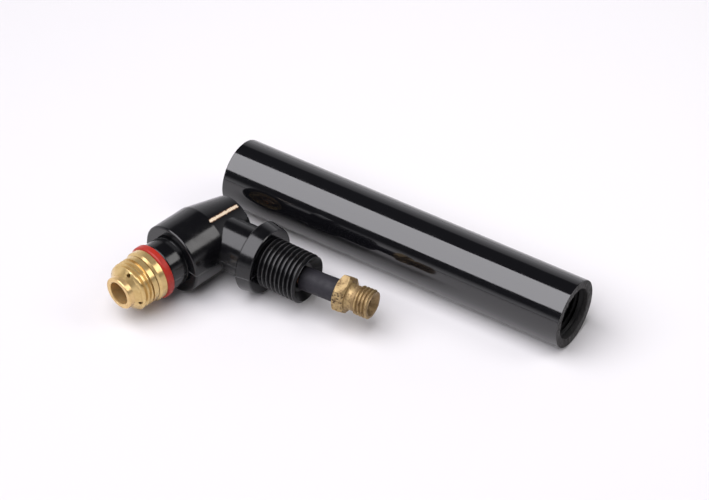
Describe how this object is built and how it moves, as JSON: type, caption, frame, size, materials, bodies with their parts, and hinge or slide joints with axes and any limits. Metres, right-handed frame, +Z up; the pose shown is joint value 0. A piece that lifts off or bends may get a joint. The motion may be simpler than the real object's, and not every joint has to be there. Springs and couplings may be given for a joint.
{
  "type": "tig torch",
  "caption": "TIG torch head with brass nose, threaded stem and hexagon hose fitting, lying beside its unscrewed black handle tube.",
  "frame": {"origin": "middle of the footprint of head and handle, on the table that they lie on", "axes": "+X along the handle towards its threaded mouth, +Y from the head towards the handle, +Z up"},
  "size_m": [0.1606, 0.1014, 0.029],
  "materials": {
    "head_moulding": "satin black moulded phenolic",
    "nozzle_seat": "turned",
    "torch_core": "turned",
    "cap_socket": "turned",
    "gasket_ring": "matt red silicone",
    "solder_ring_seat": "silver solder",
    "conductor_tube": null,
    "insulating_sleeve": "matt black",
    "solder_ring_fitting": "silver solder",
    "hose_fitting": "worn",
    "handle_tube": "glossy black phenolic tube"
  },
  "bodies": {
    "head": {"head_moulding": "head_moulding", "nozzle_seat": "nozzle_seat", "torch_core": "torch_core", "cap_socket": "cap_socket", "gasket_ring": "gasket_ring", "solder_ring_seat": "solder_ring_seat", "conductor_tube": "conductor_tube", "insulating_sleeve": "insulating_sleeve", "solder_ring_fitting": "solder_ring_fitting", "hose_fitting": "hose_fitting"},
    "handle": {"handle_tube": "handle_tube"}
  },
  "joints": [
    {"name": "handle_lift", "type": "slide", "parent": "head", "child": "handle", "axis": [0, 0, 1], "range_m": [0, 0.12]}
  ]
}
